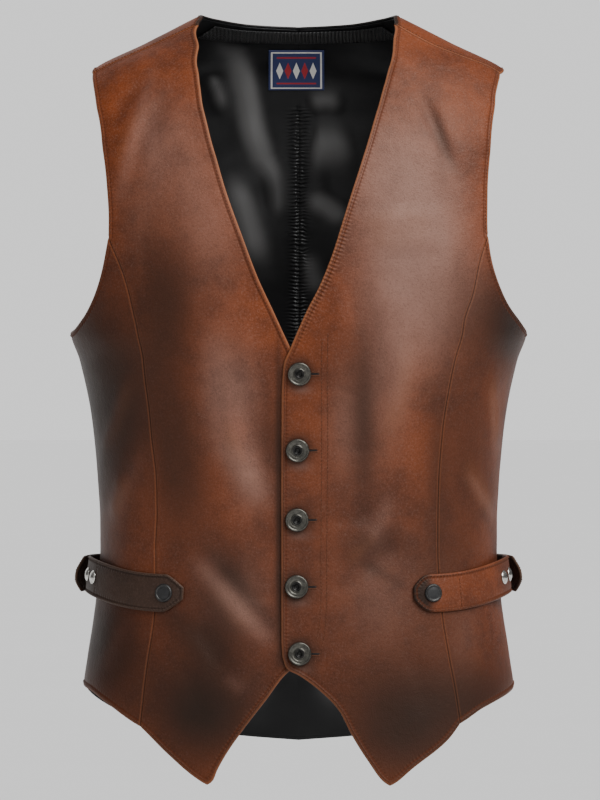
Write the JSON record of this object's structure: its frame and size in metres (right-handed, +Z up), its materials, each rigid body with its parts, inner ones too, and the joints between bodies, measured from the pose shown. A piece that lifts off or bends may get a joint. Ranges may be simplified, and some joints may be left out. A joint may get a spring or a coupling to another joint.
{
  "type": "leather vest",
  "caption": "Waist-length leather vest with a V neck, buttoned front, pointed hem and snap adjuster tabs, filled out as worn.",
  "frame": {"origin": "between the shoulders, level with the middle of the shoulder seams, where the wearer's shoulders hold the vest up", "axes": "+Z up, -Y towards the front, +X towards the wearer's left"},
  "size_m": [0.405, 0.2432, 0.6782],
  "materials": {
    "leather": "burnished, soft sheen",
    "tab_leather_dark": "burnished, soft sheen",
    "tab_leather_tan": "burnished, soft sheen",
    "lining": "black satin",
    "label": "woven",
    "button": "antique gunmetal",
    "snap": "dark lacquer",
    "stud": "bright nickel"
  },
  "bodies": {
    "root": {"front_left": "leather", "front_right": "leather", "side_left": "leather", "side_right": "leather", "back_left": "leather", "back_right": "leather", "lining_left": "lining", "lining_right": "lining", "neck_facing": "lining", "label": "label", "button_1": "button", "button_2": "button", "button_3": "button", "button_4": "button", "button_5": "button", "tab_left": "tab_leather_tan", "tab_right": "tab_leather_dark", "strap_left": "tab_leather_dark", "strap_right": "tab_leather_dark", "snap_left": "snap", "snap_right": "snap", "stud_left_1": "stud", "stud_left_2": "stud", "stud_right_1": "stud", "stud_right_2": "stud"}
  },
  "joints": []
}
